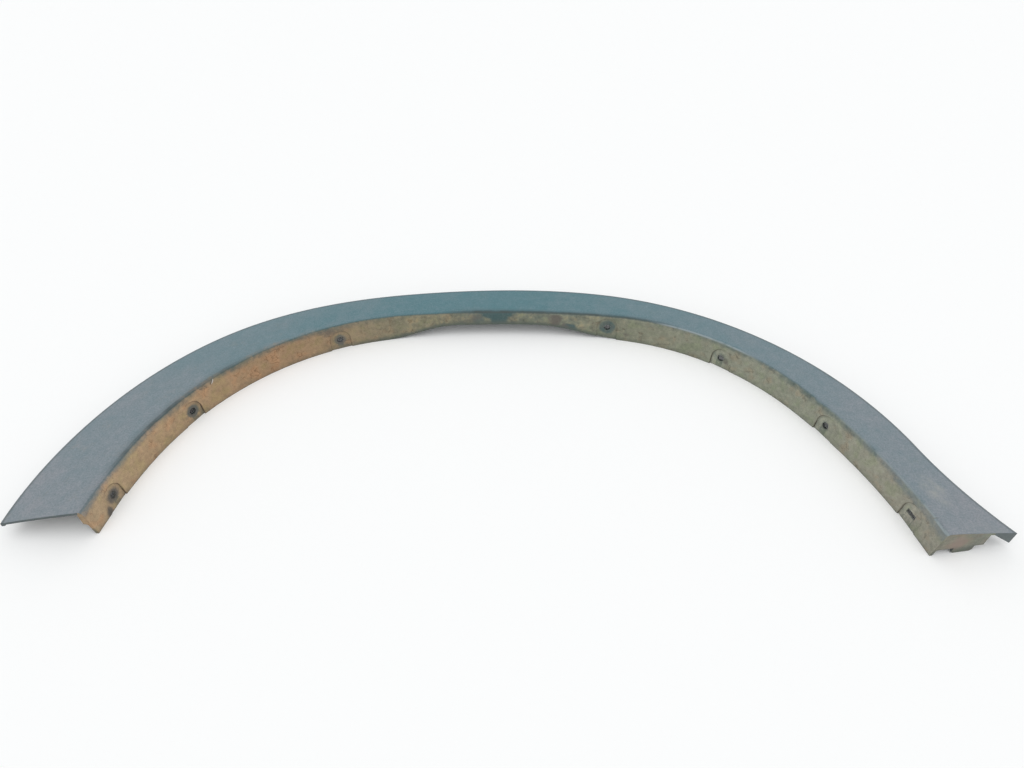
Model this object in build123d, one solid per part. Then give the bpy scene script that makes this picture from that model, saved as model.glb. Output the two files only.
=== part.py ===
from build123d import *
import math
import os

# Wheel arch trim, one injection-moulded piece, lying face up on the free edge of its return flange.
# X runs along the span, Y points to the crown, Z is up. Sizes are millimetres, angles are degrees.

# Wheel opening edge: tangent arcs walked from the crown down each leg
CROWN_RADIUS = 1100.0
CROWN_TURN_LEFT = 6.0
CROWN_TURN_RIGHT = 6.5
SHOULDER_RADIUS_LEFT = 280.0
SHOULDER_TURN_LEFT = 67.0
SHOULDER_RADIUS_RIGHT = 265.0
SHOULDER_TURN_RIGHT = 50.0
LEG_RADIUS = 500.0
LEFT_DROP = 282.0          # crown to the cut end of the left leg
RIGHT_DROP = 306.0         # crown to the cut end of the right leg
LEFT_END_ANGLE = 2.0       # both ends are cut a little askew
RIGHT_END_ANGLE = 8.0
OVERRUN = 40.0             # extra length swept past each end, then cut off

# Section: a face on top and a return flange under its inner edge
WALL = 2.8
RIDGE_HEIGHT = 33.0
FLANGE_LEAN = 6.0          # draft of the flange from upright
RIDGE_RADIUS = 4.2
FACE_SLOPE = 7.5           # fall of the face at the ridge
FACE_CAMBER_RADIUS = 900.0
FACE_REACH = 125.0         # width swept before the outer edge is trimmed

# Width of the face at each place, measured square to the opening edge
WIDTH_LEFT_END = 75.5
WIDTH_LEFT_LEG = 77.5
WIDTH_LEFT_SHOULDER = 64.0
WIDTH_CROWN_SIDE = 50.0
WIDTH_CROWN = 54.5
WIDTH_RIGHT_LEG = 48.5
FLARE_LENGTH = 92.0        # the right leg flares out over this length
FLARE_RADIUS = 262.0
FLARE_TURN = 40.0

# Outer edge: rounded on top, a low bead all along and a deeper rim turned down under the flared tip
EDGE_RADIUS = 1.2
BEAD_WIDTH = 3.2
BEAD_DEPTH = 1.4
RIM_WALL = 2.4
RIM_DEPTH = 14.5
RIM_LENGTH = 90.0
TIP_WEB_REACH = 26.0       # three-cornered web across the end of the rim

# Crown relief: the flange is shallower over the middle of the crown
RELIEF_DEPTH = 15.5
RELIEF_LEFT = -142.0
RELIEF_RIGHT = 150.0
RELIEF_RAMP_LEFT = 88.0
RELIEF_RAMP_RIGHT = 112.0

# Screw pads: flat U-shaped seats set into the flange, by distance along the edge from the crown
PAD_WIDTH = 24.0
PAD_HEIGHT = 12.0          # screw centre above the flange edge
PAD_STEP = 0.4             # least depth of the seat below the flange
PAD_CROWN_STEP = 0.9       # depth of the two square-on seats beside the crown
PAD_TILT = 2.5             # turn of the leg seats, deeper on the crown side
PAD_BOSS = 2.2             # wall left around the back of a seat
HOLE_DIAMETER = 7.5
HOLE_SET = 1.5             # screw nearer the deep side of a leg seat
SLOT_LENGTH = 11.0
SLOT_WIDTH = 4.5
PADS_LEFT_LEG = (-490.0, -374.0)
PADS_CROWN = (-192.0, 126.0)
PAD_CROWN_RISES = (0.0, 4.5)  # those two seats sit higher by these
PADS_RIGHT_LEG = (263.0, 399.0)
PAD_SLOTTED = 518.0

# Back: gussets between face and flange, and the closed right end with its foot
GUSSET_WALL = 2.2
GUSSET_REACH = 30.0
GUSSET_DEPTH = 15.0
GUSSETS = (-430.0, -300.0, -245.0, -60.0, 60.0, 200.0, 330.0, 455.0)
END_GUSSET_REACH = 8.0
END_GUSSET_FLOOR = 11.5    # lowest point of the left end's web
END_WALL = 2.6
END_WALL_REACH = 49.0
END_WALL_CLEARANCE = 8.0   # end wall above the floor
FOOT_WIDTH = 20.0
FOOT_INSET = 20.5          # foot from the flange
FOOT_CLEARANCE = 0.2       # foot above the floor
FOOT_RADIUS = 3.0


def leg(side, turns):
    """Tangent arcs from the crown down one leg, as (radius, turn) pairs."""
    arcs = []
    start = (0.0, 0.0)
    heading = (side, 0.0)
    for radius, turn in turns:
        arc = JernArc(start, heading, radius, -side * turn)
        arcs.append(arc)
        start = arc @ 1
        heading = arc % 1
    return arcs


def leg_turn(shoulder_end, drop):
    """Turn of a leg that starts at the shoulder's end and passes its cut by the overrun."""
    length = drop + shoulder_end.Y + OVERRUN
    return math.degrees(length / LEG_RADIUS)


left_turns = [(CROWN_RADIUS, CROWN_TURN_LEFT), (SHOULDER_RADIUS_LEFT, SHOULDER_TURN_LEFT)]
right_turns = [(CROWN_RADIUS, CROWN_TURN_RIGHT), (SHOULDER_RADIUS_RIGHT, SHOULDER_TURN_RIGHT)]
left_turns.append((LEG_RADIUS, leg_turn(leg(-1, left_turns)[-1] @ 1, LEFT_DROP)))
right_turns.append((LEG_RADIUS, leg_turn(leg(1, right_turns)[-1] @ 1, RIGHT_DROP)))
left_arcs = leg(-1, left_turns)
right_arcs = leg(1, right_turns)


def station(distance):
    """Point, outward normal and tangent of the opening edge at a distance right of the crown."""
    side = 1 if distance >= 0 else -1
    rest = abs(distance)
    for arc in right_arcs if side > 0 else left_arcs:
        if rest <= arc.length:
            break
        rest -= arc.length
    point = arc.position_at(rest, position_mode=PositionMode.LENGTH)
    tangent = arc.tangent_at(rest, position_mode=PositionMode.LENGTH) * side
    outward = Vector(-tangent.Y, tangent.X, 0)
    return point, outward, tangent


def section_plane(distance):
    """Plane square to the opening edge: local x outward, local y up."""
    point, outward, tangent = station(distance)
    return Plane(point, x_dir=outward, z_dir=tangent)


def face_drop(width):
    """Fall of the face below the ridge at a width from it."""
    return width * math.tan(math.radians(FACE_SLOPE)) + width**2 / (2 * FACE_CAMBER_RADIUS)


lean = RIDGE_HEIGHT * math.tan(math.radians(FLANGE_LEAN))


def skin(inset):
    """Corner points of a line set back from the outer skin: flange foot, ridge, mid face, outer limit."""
    out = inset / math.cos(math.radians(FLANGE_LEAN))
    fall = inset / math.cos(math.radians(FACE_SLOPE))
    top = RIDGE_HEIGHT - fall - face_drop(out)
    foot = (out, 0)
    ridge = (out + top * math.tan(math.radians(FLANGE_LEAN)), top)
    mid = (lean + FACE_REACH / 2, RIDGE_HEIGHT - fall - face_drop(FACE_REACH / 2))
    limit = (lean + FACE_REACH, RIDGE_HEIGHT - fall - face_drop(FACE_REACH))
    return foot, ridge, mid, limit


def shell_section():
    """Closed section of the moulding: flange and face of one wall, with a round ridge."""
    foot, ridge, mid, limit = skin(0)
    back_foot, back_ridge, back_mid, back_limit = skin(WALL)
    with BuildSketch() as sketch:
        with BuildLine():
            Line(foot, ridge)
            ThreePointArc(ridge, mid, limit)
            Line(limit, back_limit)
            ThreePointArc(back_limit, back_mid, back_ridge)
            Line(back_ridge, back_foot)
            Line(back_foot, foot)
        make_face()
        fillet(sketch.vertices().sort_by_distance(ridge)[0], RIDGE_RADIUS)
        fillet(sketch.vertices().sort_by_distance(back_ridge)[0], RIDGE_RADIUS - WALL)
    return sketch.sketch


def back_section():
    """Closed section of the space behind the mid-wall, from the flange edge up to the face."""
    foot, ridge, mid, limit = skin(WALL / 2)
    with BuildSketch() as sketch:
        with BuildLine():
            Line(foot, ridge)
            ThreePointArc(ridge, mid, limit)
            Line(limit, (limit[0], 0))
            Line((limit[0], 0), foot)
        make_face()
    return sketch.sketch


def bead_section():
    """Closed section of a thickening under the face, deeper than the wall by the bead."""
    _, ridge, mid, limit = skin(WALL / 2)
    _, low_ridge, low_mid, low_limit = skin(WALL + BEAD_DEPTH)
    with BuildSketch() as sketch:
        with BuildLine():
            ThreePointArc(ridge, mid, limit)
            ThreePointArc(low_ridge, low_mid, low_limit)
            Line(ridge, low_ridge)
            Line(limit, low_limit)
        make_face()
    return sketch.sketch


def along_edge(section):
    """Carry a section along the whole opening edge, arc by arc."""
    body = Part()
    for side, arcs, turns in ((-1, left_arcs, left_turns), (1, right_arcs, right_turns)):
        distance = 0.0
        for arc, (radius, turn) in zip(arcs, turns):
            axis = Axis(arc.arc_center, (0, 0, 1))
            start = section_plane(side * distance) * section
            body += revolve(start, axis, -side * turn)
            distance += arc.length
    return body


# Distances along the edge where one arc hands over to the next
left_crown_end = -left_arcs[0].length
left_leg_start = left_crown_end - left_arcs[1].length
right_crown_end = right_arcs[0].length
right_leg_start = right_crown_end + right_arcs[1].length


def cut_station(arc, start, drop, side):
    """Distance from the crown at which the edge of a leg meets its end cut."""
    near = 0.0
    far = arc.length
    for _ in range(40):
        middle = (near + far) / 2
        if arc.position_at(middle, position_mode=PositionMode.LENGTH).Y > -drop:
            near = middle
        else:
            far = middle
    return start + side * near


left_end = cut_station(left_arcs[2], left_leg_start, LEFT_DROP, -1)
right_end = cut_station(right_arcs[2], right_leg_start, RIGHT_DROP, 1)
left_foot = station(left_end)[0]
right_foot = station(right_end)[0]


def outer_point(distance, width):
    """Point of the outer edge, in plan."""
    point, outward, _ = station(distance)
    return point + outward * (lean + width)


def outline(inset):
    """Plan of the trim inside its outer edge, less an inset, running on past both ends."""
    places = (
        (left_end - OVERRUN / 2, WIDTH_LEFT_END),
        (left_leg_start, WIDTH_LEFT_LEG),
        ((left_leg_start + left_crown_end) / 2, WIDTH_LEFT_SHOULDER),
        (left_crown_end, WIDTH_CROWN_SIDE),
        (0.0, WIDTH_CROWN),
        (right_crown_end, WIDTH_CROWN_SIDE),
        (right_leg_start, WIDTH_RIGHT_LEG),
        (right_end - FLARE_LENGTH, WIDTH_RIGHT_LEG),
    )
    with BuildSketch() as sketch:
        with BuildLine():
            edge = Spline([outer_point(distance, width - inset) for distance, width in places])
            flare = JernArc(edge @ 1, edge % 1, FLARE_RADIUS + inset, FLARE_TURN)
            low = -2 * max(LEFT_DROP, RIGHT_DROP)
            Polyline(flare @ 1, ((flare @ 1).X, low), ((edge @ 0).X, low), edge @ 0)
        make_face()
    return sketch.sketch


def upright(plan):
    """Tall prism over a plan sketch."""
    return extrude(Pos(0, 0, -RIDGE_HEIGHT) * plan, 3 * RIDGE_HEIGHT)


prism = upright(outline(0))
behind = along_edge(back_section()) & prism


def shell():
    """Face and flange of one wall, trimmed at the outer edge and rounded on top of it."""
    body = (along_edge(shell_section()) & prism).solid()
    trimmed = body.edges().filter_by(GeomType.BSPLINE)
    on_top = [edge for edge in trimmed if behind.distance_to(edge @ 0.5) > EDGE_RADIUS / 2]
    return body.fillet(EDGE_RADIUS, on_top)


def edge_band(width):
    """Upright band of a given width inside the outer edge."""
    return prism - upright(outline(width))


def bead():
    """Low thickening under the outer edge."""
    return along_edge(bead_section()) & edge_band(BEAD_WIDTH)


def gusset(distance):
    """Corner web between flange and face."""
    with BuildSketch(section_plane(distance)) as sketch:
        low = RIDGE_HEIGHT - GUSSET_DEPTH
        Polygon((0, low), (0, RIDGE_HEIGHT), (GUSSET_REACH, RIDGE_HEIGHT), align=None)
    return extrude(sketch.sketch, GUSSET_WALL / 2, both=True)


def end_plane(foot, side, angle):
    """Upright plane of an end cut: local x outward from the flange, local y up."""
    turn = math.radians(angle)
    along = Vector(math.cos(turn), math.sin(turn), 0) * side
    return Plane(foot, x_dir=along, z_dir=Vector(along.Y, -along.X, 0))


left_cut = end_plane(left_foot, -1, LEFT_END_ANGLE)
right_cut = end_plane(right_foot, 1, RIGHT_END_ANGLE)


def end_gusset():
    """Deeper corner web at the cut face of the left end."""
    with BuildSketch(left_cut) as sketch:
        Polygon(
            (0, END_GUSSET_FLOOR),
            (0, RIDGE_HEIGHT),
            (END_GUSSET_REACH, RIDGE_HEIGHT),
            (END_GUSSET_REACH, END_GUSSET_FLOOR + END_GUSSET_REACH / 2),
            align=None,
        )
    return extrude(sketch.sketch, GUSSET_WALL)


def end_wall():
    """Wall that closes the right end under the face, with a small foot."""
    with BuildSketch(right_cut) as sketch:
        height = RIDGE_HEIGHT - END_WALL_CLEARANCE
        with Locations((END_WALL_REACH / 2, END_WALL_CLEARANCE + height / 2)):
            Rectangle(END_WALL_REACH, height)
        tall = RIDGE_HEIGHT - FOOT_CLEARANCE
        with Locations((FOOT_INSET + FOOT_WIDTH / 2, FOOT_CLEARANCE + tall / 2)):
            RectangleRounded(FOOT_WIDTH, tall, FOOT_RADIUS)
    return extrude(sketch.sketch, -END_WALL)


# Where the turned-down rim meets the right end cut, and how low it reaches there
rim_reach = END_WALL_REACH + TIP_WEB_REACH
rim_floor = RIDGE_HEIGHT - face_drop(rim_reach) - RIM_DEPTH


def rim():
    """Turned-down wall under the flared tip, running out along the leg."""
    with BuildSketch(Plane.YZ) as sketch:
        Polygon(
            (-RIGHT_DROP, rim_floor),
            (-RIGHT_DROP + RIM_LENGTH, RIDGE_HEIGHT),
            (-RIGHT_DROP - RIM_LENGTH, RIDGE_HEIGHT),
            (-RIGHT_DROP - RIM_LENGTH, rim_floor),
            align=None,
        )
    wedge = extrude(sketch.sketch, right_foot.X + 2 * FACE_REACH)
    return edge_band(RIM_WALL) & wedge


def tip_web():
    """Three-cornered web in the right end cut, from the face down to the foot of the rim."""
    with BuildSketch(right_cut) as sketch:
        Polygon(
            (END_WALL_REACH, RIDGE_HEIGHT - face_drop(END_WALL_REACH)),
            (END_WALL_REACH, RIDGE_HEIGHT),
            (rim_reach + TIP_WEB_REACH, RIDGE_HEIGHT),
            (rim_reach + TIP_WEB_REACH, rim_floor),
            (rim_reach, rim_floor),
            align=None,
        )
    return extrude(sketch.sketch, -RIM_WALL)


def seat(distance, tilt, step, rise=0.0):
    """Frame of a screw seat: local x along the flange, local y up it, local z to the wheel."""
    point, outward, tangent = station(distance)
    lean_angle = math.radians(FLANGE_LEAN)
    up = outward * math.sin(lean_angle) + Vector(0, 0, math.cos(lean_angle))
    inward = outward * -math.cos(lean_angle) + Vector(0, 0, math.sin(lean_angle))
    centre = point + up * ((PAD_HEIGHT + rise) / math.cos(lean_angle))
    depth = step + PAD_WIDTH / 2 * math.sin(math.radians(abs(tilt)))
    return Plane(centre, x_dir=tangent, z_dir=inward).location * Rot(0, tilt, 0) * Pos(0, 0, -depth)


def seat_shape(grow):
    """U shape of a seat, open at the flange edge."""
    radius = PAD_WIDTH / 2 + grow
    return Circle(radius) + Pos(0, -PAD_HEIGHT) * Rectangle(2 * radius, 2 * PAD_HEIGHT)


def relief():
    """Soft-sided cut that lifts the flange edge over the crown."""
    with BuildSketch(Plane.XZ) as sketch:
        with BuildLine():
            top_left = (RELIEF_LEFT + RELIEF_RAMP_LEFT, RELIEF_DEPTH)
            top_right = (RELIEF_RIGHT - RELIEF_RAMP_RIGHT, RELIEF_DEPTH)
            Spline((RELIEF_LEFT, 0), top_left, tangents=((1, 0), (1, 0)))
            Line(top_left, top_right)
            Spline(top_right, (RELIEF_RIGHT, 0), tangents=((1, 0), (1, 0)))
            Polyline((RELIEF_RIGHT, 0), (RELIEF_RIGHT, -WALL), (RELIEF_LEFT, -WALL), (RELIEF_LEFT, 0))
        make_face()
    return extrude(sketch.sketch, FACE_REACH / 2, both=True)


def waste(foot, angle):
    """Block that takes off an overrun, along its askew cut."""
    size = 2 * OVERRUN + 3 * FACE_REACH
    cut = Location((foot.X, foot.Y, 0), (0, 0, angle))
    return cut * Pos(0, -size / 2, 0) * Box(size, size, 6 * RIDGE_HEIGHT)


# Screw seats and the screws' own places in them
left_seats = [seat(distance, PAD_TILT, PAD_STEP) for distance in PADS_LEFT_LEG]
crown_seats = [seat(distance, 0, PAD_CROWN_STEP, rise) for distance, rise in zip(PADS_CROWN, PAD_CROWN_RISES)]
right_seats = [seat(distance, -PAD_TILT, PAD_STEP) for distance in PADS_RIGHT_LEG]
slotted_seat = seat(PAD_SLOTTED, -PAD_TILT, PAD_STEP)
seats = left_seats + crown_seats + right_seats + [slotted_seat]
screws = [frame * Pos(HOLE_SET, 0, 0) for frame in left_seats] + crown_seats
screws += [frame * Pos(-HOLE_SET, 0, 0) for frame in right_seats]
slot = slotted_seat * Pos(-HOLE_SET, 0, 0)
boss = extrude(seat_shape(PAD_BOSS), WALL, both=True)
pocket = extrude(seat_shape(0), 4 * WALL)

# Everything that stands on the back, kept behind the mid-wall, joins the shell in one go
webs = [gusset(distance) for distance in GUSSETS]
webs += [end_gusset(), end_wall(), tip_web(), rim()]
webs += [frame * boss for frame in seats]
backing = (Part() + webs) & behind
trim = Part() + shell()
trim += [bead(), *backing.solids()]

# Seats, holes, slot, crown relief and the two end cuts
cuts = [frame * pocket for frame in seats]
cuts += [frame * Cylinder(HOLE_DIAMETER / 2, 6 * WALL) for frame in screws]
cuts += [slot * Box(SLOT_LENGTH, SLOT_WIDTH, 6 * WALL), relief()]
cuts += [waste(left_foot, LEFT_END_ANGLE), waste(right_foot, RIGHT_END_ANGLE)]
trim -= cuts

# Origin in the middle of the box, on the surface that the trim lies on
box = trim.bounding_box()
trim = Pos(-box.center().X, -box.center().Y, -box.min.Z) * trim.solid()
print("crown edge moved by", -box.center().X, -box.center().Y)
print("solids", len(trim.solids()), "valid", trim.is_valid, "volume", trim.volume, "faces", len(trim.faces()))
os.makedirs("parts", exist_ok=True)
export_step(trim, "parts/wheel_arch_trim.step")
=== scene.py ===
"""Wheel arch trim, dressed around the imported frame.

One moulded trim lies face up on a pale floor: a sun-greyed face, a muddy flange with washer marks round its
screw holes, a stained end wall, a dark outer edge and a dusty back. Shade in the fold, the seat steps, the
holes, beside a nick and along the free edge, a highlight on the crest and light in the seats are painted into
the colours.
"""

import logging
import math
from bisect import bisect_left
from dataclasses import dataclass, field
from enum import Enum
from functools import cached_property

import bmesh
import bpy
from bpy.types import Material, Node, NodeSocket, NodeTree, Object
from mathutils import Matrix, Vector, kdtree, noise


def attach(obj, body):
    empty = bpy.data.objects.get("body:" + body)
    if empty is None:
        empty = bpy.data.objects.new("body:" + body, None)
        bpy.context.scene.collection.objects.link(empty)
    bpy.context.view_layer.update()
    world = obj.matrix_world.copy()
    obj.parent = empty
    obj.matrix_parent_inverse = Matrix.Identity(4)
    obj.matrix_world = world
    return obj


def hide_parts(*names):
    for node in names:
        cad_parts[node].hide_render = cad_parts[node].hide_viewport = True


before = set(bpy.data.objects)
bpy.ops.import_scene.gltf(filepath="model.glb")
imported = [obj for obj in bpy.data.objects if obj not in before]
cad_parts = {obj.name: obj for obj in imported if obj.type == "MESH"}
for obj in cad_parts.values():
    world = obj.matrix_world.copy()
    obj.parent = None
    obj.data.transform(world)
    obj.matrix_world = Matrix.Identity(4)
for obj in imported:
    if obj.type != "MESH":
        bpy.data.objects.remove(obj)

LOG = logging.getLogger("wheel_arch_trim")
MM = 0.001
NOISE_MIDDLE = 0.5
MIX_FIRST, MIX_SECOND, MIX_RESULT = 6, 7, 2
Colour = tuple[float, float, float]
Place = tuple[float, float, float]
Stops = tuple[tuple[float, object], ...]


class Zone(Enum):
    """Parts of the moulding's surface, in the order of its material slots."""

    SKIN = 0
    EDGE = 1
    BACK = 2
    END = 3
    BORE = 4


class Layer(Enum):
    """Values that the surface carries at each point for its finishes.

    Lengths run along the edge from the crown, over the face from the fold, up from the free edge, in from
    the outer edge, and along and up from the nearest seat. The others are shares from 0 to 1.
    """

    STATION = "station"
    SIDE = "side"
    INSET = "inset"
    RISE = "rise"
    RIM = "rim"
    MUD = "mud"
    STAIN = "stain"
    DUST = "dust"
    ALONG = "seat_along"
    UP = "seat_up"
    SEAM = "seat_seam"


@dataclass(frozen=True)
class Step:
    """Soft step from one amount at low to another at high, which may lie under low."""

    low: float
    high: float
    before: float = 0.0
    after: float = 1.0

    def at(self, value: float) -> float:
        """Amount at a value."""
        share = min(1.0, max(0.0, (value - self.low) / (self.high - self.low)))
        return self.before + (self.after - self.before) * share * share * (3.0 - 2.0 * share)


@dataclass(frozen=True)
class Cloud:
    """Cloudy noise: waves to the metre, octaves, weight of each finer one, and how far it swings a value."""

    scale: float
    detail: float = 3.0
    rough: float = 0.55
    swing: float = 1.0


@dataclass(frozen=True)
class Arc:
    """One arc of the opening edge, walked away from the crown."""

    centre: Vector
    radius: float
    heading: float
    turn: float
    start: float


@dataclass(frozen=True)
class Flange:
    """Flange on the edge of the wheel opening: arcs down each leg, in metres and degrees, and its section."""

    crown: Place = (-0.00651, 0.12395, 0.0)
    left: tuple[tuple[float, float], ...] = ((1.100, 6.0), (0.280, 67.0), (0.500, 60.0))
    right: tuple[tuple[float, float], ...] = ((1.100, 6.5), (0.265, 50.0), (0.500, 60.0))
    lean: float = math.tan(math.radians(6.0))
    ridge: float = 33 * MM
    skin: float = 2.3 * MM
    fold_reach: float = 8 * MM
    fold_height: float = 30 * MM

    @cached_property
    def legs(self) -> dict[int, list[Arc]]:
        """Arcs of both legs, with 1 for the right leg and -1 for the left one."""
        return {side: self.arcs(side) for side in (1, -1)}

    def arcs(self, side: int) -> list[Arc]:
        """Arcs of one leg.

        Args:
            side: 1 for the right leg, -1 for the left one.

        Returns:
            The arcs in order from the crown.
        """
        made = []
        point = Vector(self.crown[:2])
        heading = 0.0
        start = 0.0
        for radius, degrees in self.right if side > 0 else self.left:
            turn = math.radians(degrees)
            outward = Vector((side * math.sin(heading), math.cos(heading)))
            centre = point - outward * radius
            made.append(Arc(centre, radius, heading, turn, start))
            heading += turn
            start += radius * turn
            point = centre + Vector((side * math.sin(heading), math.cos(heading))) * radius
        return made

    def locate(self, point: Vector) -> tuple[float, float, float, Vector]:
        """Place of a point against the edge.

        Args:
            point: Any point of the moulding.

        Returns:
            Distance along the edge right of the crown, distance outside the edge, distance behind the
            flange's wheel side, and the outward direction.
        """
        side = 1 if point.x >= self.crown[0] else -1
        for arc in self.legs[side]:
            away = point.xy - arc.centre
            angle = math.atan2(side * away.x, away.y) - arc.heading
            if angle <= arc.turn:
                break
        station = side * (arc.start + arc.radius * angle)
        outside = away.length - arc.radius
        outward = Vector((away.x, away.y, 0.0)).normalized()
        return station, outside, outside - point.z * self.lean, outward


@dataclass(frozen=True)
class Seat:
    """One screw seat: its place, its hole's offset to the crown, its washer mark and its dirt."""

    station: float
    height: float
    offset: float
    washer: float
    clean: float
    dirt: float
    seam: float
    radius: float = 12 * MM

    def local(self, station: float, height: float) -> tuple[float, float]:
        """Distance along the flange towards the crown, and height above the hole."""
        towards = -1.0 if self.station > 0.0 else 1.0
        return (station - self.station) * towards, height - self.height

    def from_hole(self, station: float, height: float) -> float:
        """Distance from the middle of the hole."""
        along, up = self.local(station, height)
        return math.hypot(along - self.offset, up)

    @staticmethod
    def beyond(along: float, up: float) -> float:
        """Distance outside a seat's outline, which is round at its top."""
        return math.hypot(along, max(up, 0.0)) - Seat.radius


@dataclass(frozen=True)
class Spot:
    """Soft oval, by distance along the edge and, across it, height on the flange or inset on the face."""

    station: float
    across: float
    half_length: float
    half_width: float
    strength: float
    fade: Step = Step(1.60, 0.40)

    def amount(self, station: float, across: float) -> float:
        """How strong the spot is at a place."""
        off = (station - self.station) / self.half_length, (across - self.across) / self.half_width
        return self.strength * self.fade.at(math.hypot(*off))


@dataclass(frozen=True)
class Dirt:
    """Where mud, stains and dust lie, by distance along the edge, depth behind the wheel side and height."""

    flange: Flange
    seats: tuple[Seat, ...] = (
        Seat(-0.490, 0.0120, 0.0015, 0.0070, 0.35, 0.95, 0.65),
        Seat(-0.374, 0.0120, 0.0015, 0.0070, 0.60, 0.80, 0.80),
        Seat(-0.192, 0.0120, 0.0000, 0.0070, 0.45, 0.70, 0.40),
        Seat(0.126, 0.0165, 0.0000, 0.0090, 0.70, 0.30, 0.35),
        Seat(0.263, 0.0120, 0.0015, 0.0070, 0.32, 0.34, 0.80),
        Seat(0.399, 0.0120, 0.0015, 0.0060, 0.15, 0.32, 0.75),
        Seat(0.518, 0.0120, 0.0015, 0.0055, 0.05, 0.12, 0.55),
    )
    bare: tuple[Spot, ...] = (
        Spot(-0.006, 0.030, 0.015, 0.006, 1.00),
        Spot(-0.003, 0.024, 0.009, 0.008, 0.95),
        Spot(0.081, 0.013, 0.008, 0.005, 0.90),
        Spot(-0.027, 0.023, 0.007, 0.007, 0.40),
    )
    stains: tuple[Spot, ...] = (
        Spot(-0.502, 0.003, 0.0045, 0.0055, 0.90),
        Spot(-0.4920, 0.0115, 0.0055, 0.0065, 0.80),
        Spot(-0.203, 0.0255, 0.010, 0.0055, 0.50),
        Spot(0.150, 0.009, 0.005, 0.003, 0.50),
        Spot(0.268, 0.0105, 0.004, 0.004, 0.55),
        Spot(-0.030, 0.027, 0.008, 0.006, 0.45),
        Spot(0.064, 0.024, 0.008, 0.009, 0.75),
        Spot(0.076, 0.016, 0.006, 0.004, 0.50),
    )
    dust: tuple[Spot, ...] = (
        Spot(0.508, 0.022, 0.020, 0.013, 0.42),
        Spot(0.555, 0.035, 0.012, 0.040, 0.22),
        Spot(-0.540, 0.038, 0.012, 0.050, 0.30),
        Spot(-0.365, 0.050, 0.040, 0.016, 0.12),
    )
    crown: float = 0.02
    mud_fold: float = 29 * MM
    # upper limit of the thick mud
    top: Step = Step(0.40, 0.56, 22 * MM, 17 * MM)
    top_waves: float = 24.0
    top_row: float = 0.4
    top_waver: float = 2.5 * MM
    top_fade: float = 9 * MM
    top_thin: Step = Step(0.26, 0.12, 0.56, 0.18)
    # how far the mud wraps over the ridge
    crest: Step = Step(26 * MM, 30 * MM)
    wrap_start: Step = Step(26 * MM, 30 * MM, 3.2 * MM, 1.8 * MM)
    wrap_full: Step = Step(26 * MM, 30 * MM, 0.9 * MM, 0.1 * MM)
    # bare line along the ridge, from the crown to the right
    line_start: Step = Step(-0.06, -0.02)
    line_end: Step = Step(0.28, 0.24)
    line_bare: Step = Step(30 * MM, 31.5 * MM, 0.0, 0.30)
    # thinner mud at the crown, in the seats and under the washers
    crown_cover: Step = Step(0.11, 0.05, 1.0, 0.70)
    seat_cover: float = 0.88
    washer_soft: float = 2 * MM
    # haze over the fold of the left leg
    haze_start: Step = Step(-0.40, -0.34)
    haze_end: Step = Step(-0.17, -0.22)
    haze: Step = Step(8 * MM, 3 * MM, 0.0, 0.22)
    # dirt round the screw holes
    ring_out: float = 2.5 * MM
    ring_in: float = 4 * MM

    def nearest_seat(self, station: float) -> Seat:
        """Seat that lies nearest along the edge."""
        return min(self.seats, key=lambda seat: abs(seat.station - station))

    def mud(self, station: float, depth: float, height: float) -> float:
        """How much mud lies at a place.

        Args:
            station: Distance along the edge.
            depth: Distance behind the flange's wheel side.
            height: Height above the floor.

        Returns:
            A share from 0 to 1.
        """
        if depth > self.flange.fold_reach or (depth > self.flange.skin and height < self.mud_fold):
            return 0.0
        waver = noise.noise(Vector((station * self.top_waves, self.top_row, 0.0)))
        top = self.top.at(station) + self.top_waver * waver
        off_crown = abs(station - self.crown)
        cover = 1.0 - self.top_thin.at(off_crown) * Step(top, top + self.top_fade).at(height)
        cover *= Step(self.wrap_start.at(height), self.wrap_full.at(height)).at(depth)
        cover *= 1.0 - self.line_start.at(station) * self.line_end.at(station) * self.line_bare.at(height)
        cover *= self.crown_cover.at(off_crown)
        seat = self.nearest_seat(station)
        if seat.beyond(*seat.local(station, height)) < 0.0:
            cover *= self.seat_cover
        wiped = Step(seat.washer + self.washer_soft, seat.washer - self.washer_soft, 1.0, 1.0 - seat.clean)
        cover *= wiped.at(seat.from_hole(station, height))
        stretch = self.haze_start.at(station) * self.haze_end.at(station)
        haze = stretch * self.crest.at(height) * self.haze.at(depth)
        return max(haze, cover - max(spot.amount(station, height) for spot in self.bare))

    def stain(self, station: float, height: float) -> float:
        """How dark the dirt is at a place: round each screw hole and in a few spots.

        Args:
            station: Distance along the edge.
            height: Height above the floor.

        Returns:
            A share from 0 to 1.
        """
        seat = self.nearest_seat(station)
        ring = Step(seat.washer + self.ring_out, seat.washer - self.ring_in, 0.0, seat.dirt)
        spots = [spot.amount(station, height) for spot in self.stains]
        return max(ring.at(seat.from_hole(station, height)), *spots)

    def drift(self, station: float, inset: float) -> float:
        """How much dust lies at a place on the face."""
        return max(spot.amount(station, inset) for spot in self.dust)


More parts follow.
